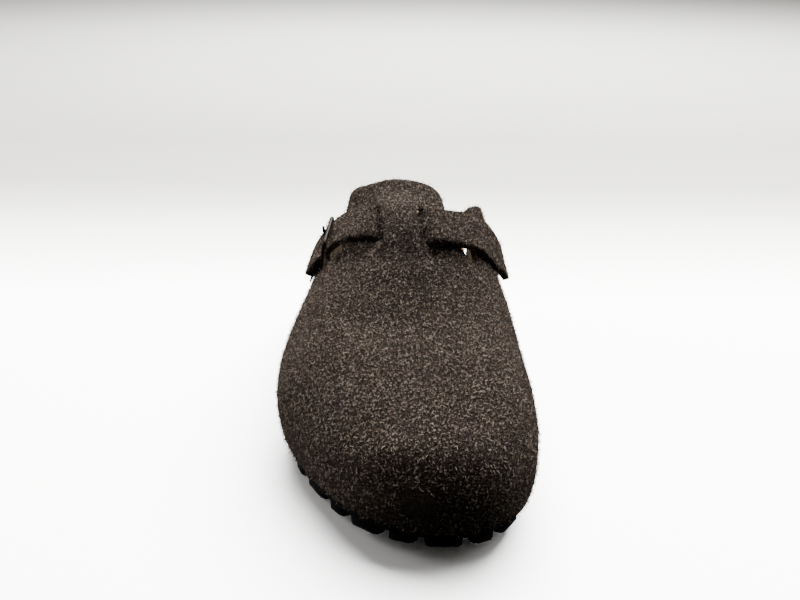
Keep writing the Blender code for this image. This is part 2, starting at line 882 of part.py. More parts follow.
def build_strap(collection):
    outline = strap_outline()
    holes = [hole_loop(*prong_slot())]
    holes += [hole_loop(share, HOLE_WIDTH / 2) for share in SPARE_HOLES]
    loops = [outline] + holes
    loose = []
    for share in strap_stations():
        for across in (-0.2, 0.2):
            loose.append((share * STRAP_UNIT, across * STRAP_WIDTH))
    loose = np.array(loose)
    loose = loose[inside(loose, outline)]
    for hole in holes:
        loose = loose[~inside(loose, hole)]
    loose = thinned(loose, np.vstack(loops), STRAP_STEP * 0.34)

    def outer_map(flat):
        return strap_point(flat, STRAP_FELT / 2)

    def inner_map(flat):
        return strap_point(flat, -STRAP_FELT / 2)

    return sheet("strap", loops, loose, loose, outer_map, inner_map, collection)


# Footbed, insole and outsole

def side_inset(level_height, along):
    """How far the footbed's side stands in from the wall at a height."""
    base = sole_top(along) + CLEARANCE
    below = np.clip((WIDEST_HEIGHT - level_height) / (WIDEST_HEIGHT - base), 0.0, 1.0)
    above = np.maximum(level_height - WIDEST_HEIGHT, 0.0) / (WIDEST_HEIGHT / 3)
    return FELT + FOOTBED_ROOM + UPPER_TUCK * below ** 2 + FOOTBED_LEAN * above ** 2


def rim_height(plan):
    centre, direction, distance = rays(plan)
    inner = (1 + direction[:, 0]) / 2
    return bed(plan[:, 1], 3) * (1 - inner) + bed(plan[:, 1], 4) * inner


def inset_loop(inset):
    plan = WALL[STATION_PICKS]
    return plan - PLAN_OUT[STATION_PICKS] * np.broadcast_to(inset, len(plan))[:, None]


def dish_height(plan, rim_inset):
    """Height of the footbed's top: flat in the middle and rising to the rim."""
    centre, direction, distance = rays(plan)
    edge = wall_point(centre, direction)
    rim = edge[:, :2] - edge[:, 2:4] * rim_inset
    share = np.clip(distance / np.linalg.norm(rim - centre, axis=1), 0.0, 1.0)
    inner = (1 + direction[:, 0]) / 2
    top = bed(rim[:, 1], 3) * (1 - inner) + bed(rim[:, 1], 4) * inner
    floor = bed(plan[:, 1], 2)
    lip = top + (floor - bed(rim[:, 1], 2)) * (1 - share)
    return floor + (lip - floor) * share ** DISH_POWER


def ring(first, second, count):
    return [(first + index, first + (index + 1) % count, second + (index + 1) % count, second + index)
            for index in range(count)]


def build_bed(collection):
    """Footbed, insole and outsole, which share their facets where they meet."""
    count = STATIONS
    plan = WALL[STATION_PICKS]
    rim = rim_height(plan)
    base_height = sole_top(plan[:, 1])
    rim_inset = side_inset(rim, plan[:, 1]) + RIM_ROUNDING
    low_height = base_height + 2 * CLEARANCE
    mid_height = np.minimum(WIDEST_HEIGHT, rim - RIM_ROUNDING) * 0.5 + low_height * 0.5
    shoulder = rim - RIM_ROUNDING
    low_loop = inset_loop(side_inset(low_height, plan[:, 1]))
    mid_loop = inset_loop(side_inset(mid_height, plan[:, 1]))
    shoulder_loop = inset_loop(side_inset(shoulder, plan[:, 1]))
    rim_loop = inset_loop(rim_inset)
    insole_loop = inset_loop(rim_inset + INSOLE_MARGIN)
    rim_mean = float(rim_inset.mean())

    loose = thinned(grid_points(insole_loop, BED_STEP), insole_loop, BED_STEP * 0.6)
    second_loop = inset_loop(rim_inset + INSOLE_MARGIN + BED_STEP * 0.45)
    loose = thinned(np.vstack([second_loop, grid_points(second_loop, BED_STEP)]), insole_loop, BED_STEP * 0.42)
    top_flat, top_faces = triangles([insole_loop], loose)
    top_height = dish_height(top_flat, rim_mean)
    top_height[:count] = np.minimum(top_height[:count], rim - RIM_ROUNDING / 4)

    under_loose = grid_points(low_loop, BED_STEP * 1.3)
    under_loose = under_loose[under_loose[:, 1] < TOE_S]
    under_loose = thinned(under_loose, low_loop, BED_STEP * 0.6)
    under_flat, under_faces = triangles([low_loop], under_loose)

    # Footbed
    levels = (
        (low_loop, low_height),
        (mid_loop, mid_height),
        (shoulder_loop, shoulder),
        (rim_loop, rim),
    )
    points = [np.column_stack([loop, height]) for loop, height in levels]
    start_top = len(levels) * count
    points.append(np.column_stack([top_flat, top_height]))
    start_under = start_top + len(top_flat)
    extra = under_flat[count:]
    points.append(np.column_stack([extra, sole_top(extra[:, 1]) + 2 * CLEARANCE]))
    faces = []
    for level in range(len(levels) - 1):
        faces += ring(level * count, (level + 1) * count, count)
    faces += ring((len(levels) - 1) * count, start_top, count)
    faces += [tuple(start_top + corner for corner in face) for face in top_faces]
    moved = [corner if corner < count else start_under + corner - count for corner in range(len(under_flat))]
    faces += [tuple(moved[corner] for corner in reversed(face)) for face in under_faces]
    face_outwards(make_object("footbed", np.vstack(points), faces, collection))

    # Insole
    below = np.column_stack([top_flat, top_height + CLEARANCE])
    above = np.column_stack([top_flat, top_height + CLEARANCE + INSOLE_THICKNESS])
    size = len(top_flat)
    faces = [tuple(size + corner for corner in face) for face in top_faces]
    faces += [tuple(reversed(face)) for face in top_faces]
    faces += ring(0, size, count)
    face_outwards(make_object("insole", np.vstack([below, above]), faces, collection))

    # Outsole
    top_loop = inset_loop(UPPER_BULGE + SLAB_INSET)
    slab_loop = inset_loop(UPPER_BULGE + SLAB_INSET + SLAB_TAPER)
    lugs = lug_loops()
    cover = np.vstack(lugs)
    floor_loose = grid_points(slab_loop, BED_STEP * 1.4)
    floor_loose = floor_loose[floor_loose[:, 1] < TOE_S]
    for lug in lugs:
        floor_loose = floor_loose[~inside(floor_loose, lug)]
    floor_loose = thinned(floor_loose, np.vstack([cover, slab_loop]), BED_STEP * 0.4)
    floor_flat, floor_faces = triangles([slab_loop] + lugs, floor_loose)
    points = [np.column_stack([floor_flat, spring(floor_flat[:, 1]) + LUG_HEIGHT])]
    faces = [tuple(reversed(face)) for face in floor_faces]
    start = len(floor_flat)
    place = count
    for lug in lugs:
        points.append(np.column_stack([lug, spring(lug[:, 1])]))
        cap_flat, cap_faces = triangles([lug], np.zeros((0, 2)))
        faces += ring(place, start, len(lug))
        faces += [tuple(start + corner for corner in reversed(face)) for face in cap_faces]
        start += len(lug)
        place += len(lug)
    top_start = start
    points.append(np.column_stack([top_loop, sole_top(top_loop[:, 1])]))
    start += count
    seat_start = start
    points.append(np.column_stack([under_flat, sole_top(under_flat[:, 1])]))
    faces += ring(0, top_start, count)
    faces += ring(top_start, seat_start, count)
    faces += [tuple(seat_start + corner for corner in face) for face in under_faces]
    face_outwards(make_object("outsole", np.vstack(points), faces, collection))


def rim_run(inset):
    """Closed curve at an inset from the wall, with its length."""
    loop = WALL - PLAN_OUT * inset
    closed = np.vstack([loop, loop[:1]])
    return closed, path_length(closed)


def lug_loops():
    """Outlines of the ring of lugs, the rest pads and the cross bars."""
    edge_inset = UPPER_BULGE + SLAB_INSET + SLAB_TAPER + LUG_INSET
    insets = (0.0, LUG_ROUNDING * 0.30, LUG_ROUNDING, LUG_DEPTH)
    runs = [rim_run(edge_inset + inset) for inset in insets]
    total = runs[0][1][-1]
    pair = 1.0 / LUG_PAIRS
    spans = []
    for number in range(LUG_PAIRS):
        spans.append((number * pair, (number + LONG_LUG_SHARE) * pair))
        spans.append(((number + LONG_LUG_SHARE) * pair, (number + 1) * pair))
    gap = LUG_GAP / total / 2
    edge = LUG_ROUNDING / total
    loops = []
    for first, last in spans:
        start = first + gap
        end = last - gap
        rows = (
            (0, start + edge),
            (0, end - edge),
            (1, end - edge * 0.35),
            (2, end),
            (3, end),
            (3, start),
            (2, start),
            (1, start + edge * 0.35),
        )
        loop = []
        for level, share in rows:
            curve, length = runs[level]
            at = share * OUTLINE_SAMPLES
            across = np.interp(at, np.arange(len(curve)), curve[:, 0])
            along = np.interp(at, np.arange(len(curve)), curve[:, 1])
            loop.append((across, along))
        loops.append(np.array(loop))
    blocks = []
    for across, share, width, length in PADS:
        middle = (across * SOLE_WIDTH, share * SOLE_LENGTH)
        blocks.append((middle, width * SOLE_WIDTH / 2, length * SOLE_LENGTH / 2))
    room = rim_run(edge_inset + LUG_DEPTH + LUG_GAP)[0]
    bar = BAR_SHARE * SOLE_LENGTH
    for share in BARS:
        near = np.abs(room[:, 1] - share * SOLE_LENGTH) < bar
        left = room[near & (room[:, 0] < 0), 0].max()
        right = room[near & (room[:, 0] > 0), 0].min()
        blocks.append((((left + right) / 2, share * SOLE_LENGTH), (right - left) / 2, bar / 2))
    for middle, wide, deep in blocks:
        cut = min(LUG_ROUNDING * 0.6, deep * 0.5)
        corners = []
        for across_sign, along_sign in ((1, -1), (1, 1), (-1, 1), (-1, -1)):
            tip = np.array([wide * across_sign, deep * along_sign])
            first = tip - [0.0, cut * along_sign]
            second = tip - [cut * across_sign, 0.0]
            order = (first, second) if across_sign * along_sign > 0 else (second, first)
            corners += [np.array(middle) + row for row in order]
        loops.append(np.array(corners))
    return loops


# Buckle

def tube(name, path, radius, closed, collection):
    """Round bar along a path of points."""
    path = np.array(path)
    count = len(path)
    if closed:
        ahead = np.roll(path, -1, axis=0) - np.roll(path, 1, axis=0)
    else:
        ahead = np.gradient(path, axis=0)
    ahead /= np.linalg.norm(ahead, axis=1)[:, None]
    middle = path.mean(axis=0)
    spread = np.linalg.svd(path - middle)[2][2]
    points = []
    for centre, way in zip(path, ahead):
        side = np.cross(way, spread)
        side /= np.linalg.norm(side)
        top = np.cross(side, way)
        for turn in np.linspace(0.0, 2 * math.pi, BAR_SIDES, endpoint=False):
            points.append(centre + side * radius * math.cos(turn) + top * radius * math.sin(turn))
    faces = []
    spans = count if closed else count - 1
    for row in range(spans):
        start = row * BAR_SIDES
        following = ((row + 1) % count) * BAR_SIDES
        for side in range(BAR_SIDES):
            beside = (side + 1) % BAR_SIDES
            faces.append((start + side, start + beside, following + beside, following + side))
    if not closed:
        faces.append(tuple(range(BAR_SIDES)))
        faces.append(tuple(reversed(range((count - 1) * BAR_SIDES, count * BAR_SIDES))))
    return face_outwards(make_object(name, np.array(points), faces, collection))


def buckle_place():
    """Where the buckle is: its pivot in the pattern and in space, and its own directions."""
    reach = PIVOT_SHARE * STRAP_OUTER_REACH
    along = float(strap_along(np.array(-reach)))
    flat = np.array([float(ridge_across(along)) - reach, along])
    pivot = felt_point(flat[None], -FELT / 2)[0]
    share = (FRAME_LENGTH - reach) / STRAP_OUTER_REACH
    beside = np.linspace(-STRAP_WIDTH / 2, STRAP_WIDTH / 2, ARC_STEPS)
    under = strap_point(np.column_stack([np.full(ARC_STEPS, share * STRAP_UNIT), beside]), 0.0)
    centre, above = [strap_point(np.array([[share * STRAP_UNIT, 0.0]]), rise)[0] for rise in (0.0, STRAP_FELT)]
    crown = max(0.0, ((under - centre) @ (above - centre)).max() / STRAP_FELT)
    room = STRAP_FELT / 2 + 3 * CLEARANCE + BAR_RADIUS + crown
    far = strap_point(np.array([[share * STRAP_UNIT, 0.0]]), room)[0]
    length = np.linalg.norm(far - pivot)
    up = (far - pivot) / length
    small = FELT / 3
    shifts = np.array([[small, 0.0], [-small, 0.0], [0.0, small], [0.0, -small]])
    near = felt_point(flat + shifts, -FELT / 2)
    sideways = (near[0] - near[1]) / (2 * small)
    lengthways = (near[2] - near[3]) / (2 * small)
    ahead = lengthways - up * lengthways.dot(up)
    ahead /= np.linalg.norm(ahead)
    out = np.cross(ahead, up)
    if out[0] > 0:
        out = -out
    plane = np.stack([sideways, lengthways], axis=1)
    flat_up = np.linalg.lstsq(plane, up, rcond=None)[0]
    flat_ahead = np.linalg.lstsq(plane, ahead, rcond=None)[0]
    flat_up /= np.linalg.norm(plane @ flat_up)
    flat_ahead /= np.linalg.norm(plane @ flat_ahead)
    shares = np.linspace(-PIVOT_SHARE, share, ARC_STEPS)
    edges = []
    for side in (STRAP_WIDTH / 2, -STRAP_WIDTH / 2):
        for level in (-STRAP_FELT / 2, STRAP_FELT / 2):
            rows = strap_point(np.column_stack([shares * STRAP_UNIT, np.full(len(shares), side)]), level)
            edges.append((rows - pivot) @ ahead)
    return {
        "flat": flat,
        "pivot": pivot,
        "up": up,
        "ahead": ahead,
        "out": out,
        "flat_up": flat_up,
        "flat_ahead": flat_ahead,
        "length": length,
        "front": np.min(edges) - FRAME_ROOM - BAR_RADIUS,
        "back": np.max(edges) + FRAME_ROOM + BAR_RADIUS,
    }


PRONG_WRAP = BAR_RADIUS + PRONG_RADIUS + CLEARANCE
DIP_DEPTH = PRONG_WRAP + PRONG_RADIUS + CLEARANCE
DIP_RISE = FRAME_LENGTH * 0.40


def dip_edge():
    """Edge of the outer quarter round the buckle's pivot, from the front."""
    place = buckle_place()
    front = place["front"] - BAR_RADIUS - DIP_ROOM
    back = place["back"] + BAR_RADIUS + DIP_ROOM
    slope = DIP_ROOM * 1.5
    corners = (
        (front - slope, DIP_RISE),
        (front, slope - DIP_DEPTH),
        (front + slope, -DIP_DEPTH),
        (back - slope, -DIP_DEPTH),
        (back, slope - DIP_DEPTH),
        (back + slope, DIP_RISE),
    )
    return np.array([place["flat"] + place["flat_ahead"] * beside + place["flat_up"] * rise
                     for beside, rise in corners])


def prong_rows(place):
    """Middle line of the prong in the buckle's section: up and out from the pivot."""
    length = place["length"]
    turn_up = math.asin(2 * PRONG_WRAP / length)
    way = np.array([math.cos(turn_up), math.sin(turn_up)])
    leave = math.atan2(-way[0], way[1])
    rows = []
    for turn in np.linspace(leave - 0.95 * math.pi, leave, ARC_STEPS + 2):
        rows.append(np.array([math.cos(turn), math.sin(turn)]) * PRONG_WRAP)
    run = math.sqrt(length ** 2 - 4 * PRONG_WRAP ** 2) + 2 * BAR_RADIUS
    last = rows[-1]
    for share in (0.33, 0.66, 1.0):
        rows.append(last + way * run * share)
    return np.array(rows)


def prong_slot():
    """Place and half length of the strap's slot that the prong passes through."""
    place = buckle_place()
    rows = prong_rows(place)
    start = rows[-4]
    way = rows[-1] - start
    way /= np.linalg.norm(way)
    shares = np.linspace(-PIVOT_SHARE, -PIVOT_SHARE / 2, OUTLINE_SAMPLES // 4)
    middle = np.column_stack([shares * STRAP_UNIT, np.zeros(len(shares))])
    near = np.zeros(len(shares), bool)
    for level in (-0.5, 0.0, 0.5):
        spots = strap_point(middle, level * STRAP_FELT) - place["pivot"]
        section = np.stack([spots @ place["up"], spots @ place["out"]], axis=1) - start
        gap = np.abs(section[:, 0] * way[1] - section[:, 1] * way[0])
        near |= gap < PRONG_RADIUS + 2 * CLEARANCE
    first = shares[near].min()
    last = shares[near].max()
    return (first + last) / 2, (last - first) / 2 * STRAP_UNIT + HOLE_WIDTH / 4


def build_buckle(collection):
    place = buckle_place()
    corner = BAR_RADIUS * 2
    ends = (
        (place["length"] - corner, place["back"] - corner, 0.0),
        (place["length"] - corner, place["front"] + corner, 0.5),
        (corner, place["front"] + corner, 1.0),
        (corner, place["back"] - corner, 1.5),
    )
    path = []
    for rise, beside, start in ends:
        for turn in np.linspace(start, start + 0.5, ARC_STEPS // 2 + 1) * math.pi:
            up = place["up"] * (rise + corner * math.sin(turn))
            ahead = place["ahead"] * (beside + corner * math.cos(turn))
            path.append(place["pivot"] + up + ahead)
    tube("buckle_frame", path, BAR_RADIUS, True, collection)
    prong = [place["pivot"] + place["up"] * up + place["out"] * out for up, out in prong_rows(place)]
    tube("buckle_prong", prong, PRONG_RADIUS, False, collection)


def build_tab(collection):
    """Tab folded round the pivot bar, with one leg on each face of the quarter."""
    place = buckle_place()
    wrap = BAR_RADIUS + CLEARANCE + TAB_FELT / 2
    leg = FELT / 2 + CLEARANCE + TAB_FELT / 2
    shares = (1.0, 0.7, 0.4, 0.25)
    rows = [(-TAB_LENGTH * share, leg) for share in shares]
    for turn in np.linspace(0.62, -0.62, ARC_STEPS + 3) * math.pi:
        rows.append((wrap * math.cos(turn), wrap * math.sin(turn)))
    rows += [(-TAB_LENGTH * share, -leg) for share in reversed(shares)]
    middle = respaced(np.array(rows), TAB_FELT)
    way = np.gradient(middle, axis=0)
    way /= np.linalg.norm(way, axis=1)[:, None]
    across = np.stack([-way[:, 1], way[:, 0]], axis=1)
    slot = PRONG_RADIUS + 2 * CLEARANCE
    slotted = np.flatnonzero(middle[:, 0] > -DIP_DEPTH)
    half = TAB_WIDTH / 2
    columns = (-half, -slot, slot, half)
    points = []
    for side in (0.5, -0.5):
        spots = middle + across * TAB_FELT * side
        flat = place["flat"] + place["flat_up"] * spots[:, :1]
        centres = felt_point(flat, spots[:, 1] - FELT / 2)
        for centre in centres:
            for column in columns:
                points.append(centre + place["ahead"] * column)
    rows_count = len(middle)
    width = len(columns)
    faces = []

    def at(layer, row, column):
        return (layer * rows_count + row) * width + column

    def filled(row, column):
        if row < 0 or row >= rows_count - 1 or column < 0 or column >= width - 1:
            return False
        return not (column == 1 and slotted[0] <= row < slotted[-1])

    for row in range(rows_count - 1):
        for column in range(width - 1):
            if not filled(row, column):
                continue
            for layer in (0, 1):
                corners = [at(layer, row, column), at(layer, row, column + 1),
                           at(layer, row + 1, column + 1), at(layer, row + 1, column)]
                faces.append(tuple(corners if layer == 0 else reversed(corners)))
            sides = (
                (filled(row - 1, column), (row, column), (row, column + 1)),
                (filled(row + 1, column), (row + 1, column), (row + 1, column + 1)),
                (filled(row, column - 1), (row, column), (row + 1, column)),
                (filled(row, column + 1), (row, column + 1), (row + 1, column + 1)),
            )
            for covered, first, second in sides:
                if not covered:
                    faces.append((at(0, *first), at(0, *second), at(1, *second), at(1, *first)))
    face_outwards(make_object("buckle_tab", np.array(points), faces, collection))


# Assembly

def clear_scene():
    for old in list(bpy.data.objects):
        bpy.data.objects.remove(old, do_unlink=True)


def paint(collection):
    for name, red, green, blue, roughness, metallic in SURFACES:
        material = bpy.data.materials.new(name)
        material.use_nodes = True
        shader = material.node_tree.nodes["Principled BSDF"]
        shader.inputs["Base Color"].default_value = (red, green, blue, 1.0)
        shader.inputs["Roughness"].default_value = roughness
        shader.inputs["Metallic"].default_value = metallic
        collection.objects[name].data.materials.append(material)


def centre_all(collection):
    """Move every piece so that the whole stands on the floor with its middle over the origin."""
    corners = []
    for made in collection.objects:
        for vertex in made.data.vertices:
            corners.append(vertex.co[:])
    corners = np.array(corners)
    low = corners.min(axis=0)
    high = corners.max(axis=0)
    shift = Vector((-(low[0] + high[0]) / 2, -(low[1] + high[1]) / 2, -low[2]))
    for made in collection.objects:
        for vertex in made.data.vertices:
            vertex.co += shift
    return shift


def build():
    clear_scene()
    collection = bpy.data.collections.new("clog_slipper")
    bpy.context.scene.collection.children.link(collection)
    build_bed(collection)
    build_upper(collection)
    build_strap(collection)
    build_buckle(collection)
    build_tab(collection)
    paint(collection)
    shift = centre_all(collection)
    print("moved by", [round(value, 6) for value in shift])


build()
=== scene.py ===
# A wool felt clog slipper for the right foot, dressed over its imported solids.
# Lengths are in metres. The toe points to -Y, the inner side of the foot is +X, up is +Z.

import math

import bmesh
import bpy
import numpy as np
from mathutils import Matrix, Vector, noise


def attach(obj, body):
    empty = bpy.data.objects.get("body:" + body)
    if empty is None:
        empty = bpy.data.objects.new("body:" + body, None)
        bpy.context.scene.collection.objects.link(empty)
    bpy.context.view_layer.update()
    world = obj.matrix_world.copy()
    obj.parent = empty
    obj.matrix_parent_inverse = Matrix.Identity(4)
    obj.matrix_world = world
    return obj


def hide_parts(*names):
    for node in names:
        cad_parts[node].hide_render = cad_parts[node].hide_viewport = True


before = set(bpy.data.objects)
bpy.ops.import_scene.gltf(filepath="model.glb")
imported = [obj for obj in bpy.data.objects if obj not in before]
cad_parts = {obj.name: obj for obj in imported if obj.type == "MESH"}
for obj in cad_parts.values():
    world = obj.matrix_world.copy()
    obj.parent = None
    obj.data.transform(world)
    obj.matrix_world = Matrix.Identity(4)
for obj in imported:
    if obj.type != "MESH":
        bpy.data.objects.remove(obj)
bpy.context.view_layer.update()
MM = 0.001


# Small helpers

def linear(code):
    """Linear colour from an sRGB hex value."""
    parts = [int(code[place:place + 2], 16) / 255 for place in (1, 3, 5)]
    return tuple(part / 12.92 if part <= 0.04045 else ((part + 0.055) / 1.055) ** 2.4
                 for part in parts) + (1.0,)


def add(tree, kind, links=None, **settings):
    """Adds a node with its settings and its inputs, which are values or other nodes' sockets."""
    node = tree.nodes.new(kind)
    for key, value in settings.items():
        setattr(node, key, value)
    for socket, value in (links or {}).items():
        if isinstance(value, bpy.types.NodeSocket):
            tree.links.new(value, node.inputs[socket])
        else:
            node.inputs[socket].default_value = value
    return node


def ramp(tree, factor, stops):
    """Colour ramp over (place, colour) stops."""
    node = add(tree, "ShaderNodeValToRGB", {"Fac": factor})
    band = node.color_ramp
    while len(band.elements) > len(stops):
        band.elements.remove(band.elements[-1])
    while len(band.elements) < len(stops):
        band.elements.new(1.0)
    for element, (place, colour) in zip(band.elements, stops):
        element.position = place
        element.color = colour
    return node.outputs["Color"]


def grey(level):
    """Grey of a linear level, for shares and roughness as well as for colours."""
    return (level, level, level, 1.0)


def new_material(name, **shader_values):
    """Material with its node tree and its shader, whose inputs take the given values."""
    material = bpy.data.materials.new(name)
    material.use_nodes = True
    tree = material.node_tree
    shader = tree.nodes["Principled BSDF"]
    for socket, value in shader_values.items():
        shader.inputs[socket.replace("_", " ")].default_value = value
    return material, tree, shader


def bump(tree, shader, height, distance, strength):
    """Relief as deep as the distance, in metres, where the height goes from 0 to 1."""
    links = {"Height": height, "Distance": distance, "Strength": strength}
    node = add(tree, "ShaderNodeBump", links)
    tree.links.new(node.outputs["Normal"], shader.inputs["Normal"])


def object_coordinates(tree):
    return add(tree, "ShaderNodeTexCoord").outputs["Object"]


def blended(tree, factor, low, high, kind="MIX"):
    """Colour mix of two colours or colour sockets."""
    node = add(tree, "ShaderNodeMix", data_type="RGBA", blend_type=kind)
    colours = [socket for socket in node.inputs if socket.type == "RGBA"]
    for socket, value in ((node.inputs[0], factor), (colours[0], low), (colours[1], high)):
        if isinstance(value, bpy.types.NodeSocket):
            tree.links.new(value, socket)
        else:
            socket.default_value = value
    return next(socket for socket in node.outputs if socket.type == "RGBA")


def turned(tree, coordinates, turn, scale):
    """Coordinates turned about the piece and stretched, for patterns with a direction."""
    links = {"Vector": coordinates, "Rotation": turn, "Scale": scale}
    return add(tree, "ShaderNodeMapping", links).outputs[0]


def noise_pattern(tree, place, scale, detail, **others):
    """Noise from 0 to 1. Its scale is in patches per metre, so 1000 makes patches of 1 mm."""
    links = {"Vector": place, "Scale": scale, "Detail": detail}
    links.update(others)
    return add(tree, "ShaderNodeTexNoise", links).outputs["Fac"]


def cell_pattern(tree, place, scale, **settings):
    """Packed cells, with their scale in cells per metre."""
    return add(tree, "ShaderNodeTexVoronoi", {"Vector": place, "Scale": scale}, **settings)


# Materials

def wool_felt():
    """Milled wool felt, mixed from dark, brown and undyed fibres and left with a short nap.
    The eye sees a dark brown ground with paler crossing fibres and small clouds of shade."""
    material, tree, shader = new_material(
        "milled_wool_felt", Roughness=0.94, IOR=1.5, Specular_IOR_Level=0.12,
        Sheen_Weight=0.12, Sheen_Roughness=0.6, Sheen_Tint=linear("#b9a88f"))
    place = object_coordinates(tree)
    # Clouds of shade 9 mm across, where the fibres were blended unevenly.
    clouds = noise_pattern(tree, place, 110.0, 3.0, Roughness=0.6)
    # Tufts 0.6 mm across.
    tufts = noise_pattern(tree, place, 1600.0, 4.0, Roughness=0.75)
    # Fibres lie in every direction. They are 0.05 mm thick, and are drawn 0.3 mm thick and
    # 1.6 mm long so that they show. Only the crests of each pattern count as fibres.
    top = None
    for turn in ((0.3, 0.2, 0.5), (1.4, 0.5, 2.1), (0.7, 1.5, 1.1), (2.2, 0.9, 0.2)):
        lay = turned(tree, place, turn, (3300.0, 620.0, 3300.0))
        streak = noise_pattern(tree, lay, 1.0, 1.0, Distortion=0.8)
        if top is None:
            top = streak
        else:
            top = add(tree, "ShaderNodeMath", {0: top, 1: streak}, operation="MAXIMUM").outputs[0]
    crests = {"Value": top, "From Min": 0.62, "From Max": 0.77}
    fibres = add(tree, "ShaderNodeMapRange", crests).outputs[0]
    ground = ramp(tree, tufts, (
        (0.42, linear("#080505")),
        (0.49, linear("#251b17")),
        (0.57, linear("#4e3f35")),
        (0.64, linear("#a08a79")),
    ))
    shade = ramp(tree, clouds, ((0.36, grey(0.52)), (0.64, grey(0.92))))
    clouded = blended(tree, 1.0, ground, shade, "MULTIPLY")
    pale = blended(tree, fibres, clouded, linear("#ae9b8c"))
    tree.links.new(pale, shader.inputs["Base Color"])
    height = add(tree, "ShaderNodeMath", {0: tufts, 1: fibres}, operation="ADD").outputs[0]
    bump(tree, shader, height, 0.6 * MM, 0.8)
    return material


def fibre_wool():
    """Loose undyed wool fibres that lie over the felt; they are pale and slightly shiny."""
    material, tree, shader = new_material(
        "loose_wool_fibre", Roughness=0.7, IOR=1.55, Specular_IOR_Level=0.2)
    place = object_coordinates(tree)
    # Each fibre has its own shade, which changes over about 1 mm.
    mix = noise_pattern(tree, place, 1050.0, 1.0)
    colour = ramp(tree, mix, (
        (0.45, linear("#0b0706")),
        (0.50, linear("#52433a")),
        (0.57, linear("#ccb9a9")),
    ))
    tree.links.new(colour, shader.inputs["Base Color"])
    return material


def black_foam():
    """Moulded rubber foam, black and matt, with pores 0.4 mm across and scuffs of about 6 mm."""
    material, tree, shader = new_material(
        "moulded_foam_rubber", Roughness=0.72, IOR=1.5, Specular_IOR_Level=0.25)
    place = object_coordinates(tree)
    pores = cell_pattern(tree, place, 2600.0)
    scuffs = noise_pattern(tree, place, 160.0, 5.0)
    colour = ramp(tree, scuffs, ((0.35, linear("#080808")), (0.7, linear("#121110"))))
    tree.links.new(colour, shader.inputs["Base Color"])
    rough = ramp(tree, scuffs, ((0.3, grey(0.6)), (0.7, grey(0.82))))
    tree.links.new(rough, shader.inputs["Roughness"])
    bump(tree, shader, pores.outputs["Distance"], 0.12 * MM, 0.5)
    return material


def pressed_cork():
    """Pressed cork granules about 2 mm across in a latex binder, under a clear matt seal."""
    material, tree, shader = new_material(
        "pressed_cork", Roughness=0.62, IOR=1.45, Coat_Weight=0.12, Coat_Roughness=0.45)
    place = object_coordinates(tree)
    granules = cell_pattern(tree, place, 480.0)
    edges = cell_pattern(tree, place, 480.0, feature="DISTANCE_TO_EDGE")
    # Each granule has its own shade, with a grain of 0.7 mm inside it.
    grain = noise_pattern(tree, place, 1500.0, 3.0)
    shade = add(tree, "ShaderNodeSeparateColor", {"Color": granules.outputs["Color"]}).outputs[0]
    mixed = add(tree, "ShaderNodeMath", {0: shade, 1: grain, 2: 0.12}, operation="MULTIPLY_ADD")
    colour = ramp(tree, mixed.outputs[0], (
        (0.12, linear("#5d3d22")),
        (0.32, linear("#9c7044")),
        (0.52, linear("#b98c5b")),
        (0.72, linear("#cfa878")),
    ))
    tree.links.new(colour, shader.inputs["Base Color"])
    seams = ramp(tree, edges.outputs["Distance"], ((0.0, grey(0.0)), (0.12, grey(1.0))))
    bump(tree, shader, seams, 0.18 * MM, 0.6)
    return material


def napped_suede():
    """Suede split leather, buffed to a short nap that lies in soft brushed patches 17 mm across."""
    material, tree, shader = new_material(
        "napped_suede", Roughness=0.92, IOR=1.5, Specular_IOR_Level=0.2,
        Sheen_Weight=0.35, Sheen_Roughness=0.5, Sheen_Tint=linear("#fff3df"))
    place = object_coordinates(tree)
    brushed = noise_pattern(tree, place, 60.0, 4.0, Distortion=0.6)
    # Nap 0.4 mm across.
    nap = noise_pattern(tree, place, 2800.0, 2.0)
    colour = ramp(tree, brushed, (
        (0.34, linear("#c7b797")),
        (0.52, linear("#d9cbb0")),
        (0.68, linear("#e6dac2")),
    ))
    tree.links.new(colour, shader.inputs["Base Color"])
    bump(tree, shader, nap, 0.15 * MM, 0.6)
    return material


def dark_leather():
    """Chrome-tanned leather, dyed dark brown, with a pebble grain of 0.7 mm and wear over 3 mm."""
    material, tree, shader = new_material(
        "dyed_leather", Roughness=0.55, IOR=1.5, Coat_Weight=0.1, Coat_Roughness=0.4)
    place = object_coordinates(tree)
    pebbles = cell_pattern(tree, place, 1500.0)
    wear = noise_pattern(tree, place, 300.0, 4.0)
    colour = ramp(tree, wear, ((0.35, linear("#241a14")), (0.7, linear("#3b2c22"))))
    tree.links.new(colour, shader.inputs["Base Color"])
    bump(tree, shader, pebbles.outputs["Distance"], 0.15 * MM, 0.5)
    return material


def burnished_gunmetal():
    """Steel wire with a dark burnished plate, rubbed a little paler in spots 1 mm across."""
    material, tree, shader = new_material("burnished_gunmetal", Metallic=1.0, Roughness=0.4)
    place = object_coordinates(tree)
    rubbed = noise_pattern(tree, place, 900.0, 5.0)
    colour = ramp(tree, rubbed, ((0.35, linear("#2a2521")), (0.75, linear("#544c43"))))
    tree.links.new(colour, shader.inputs["Base Color"])
    rough = ramp(tree, rubbed, ((0.3, grey(0.34)), (0.7, grey(0.52))))
    tree.links.new(rough, shader.inputs["Roughness"])
    return material


FELT = wool_felt()
FIBRE = fibre_wool()
FOAM = black_foam()
CORK = pressed_cork()
SUEDE = napped_suede()
LEATHER = dark_leather()
GUNMETAL = burnished_gunmetal()


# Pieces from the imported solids

# Points of a solid that lie this close together are one point.
WELD = 0.02 * MM

# An edge bent by more than this many radians is sharp: on felt, on pressed pieces and on wire.
FELT_EDGE = 0.85
PRESSED_EDGE = 0.9
WIRE_EDGE = 1.2

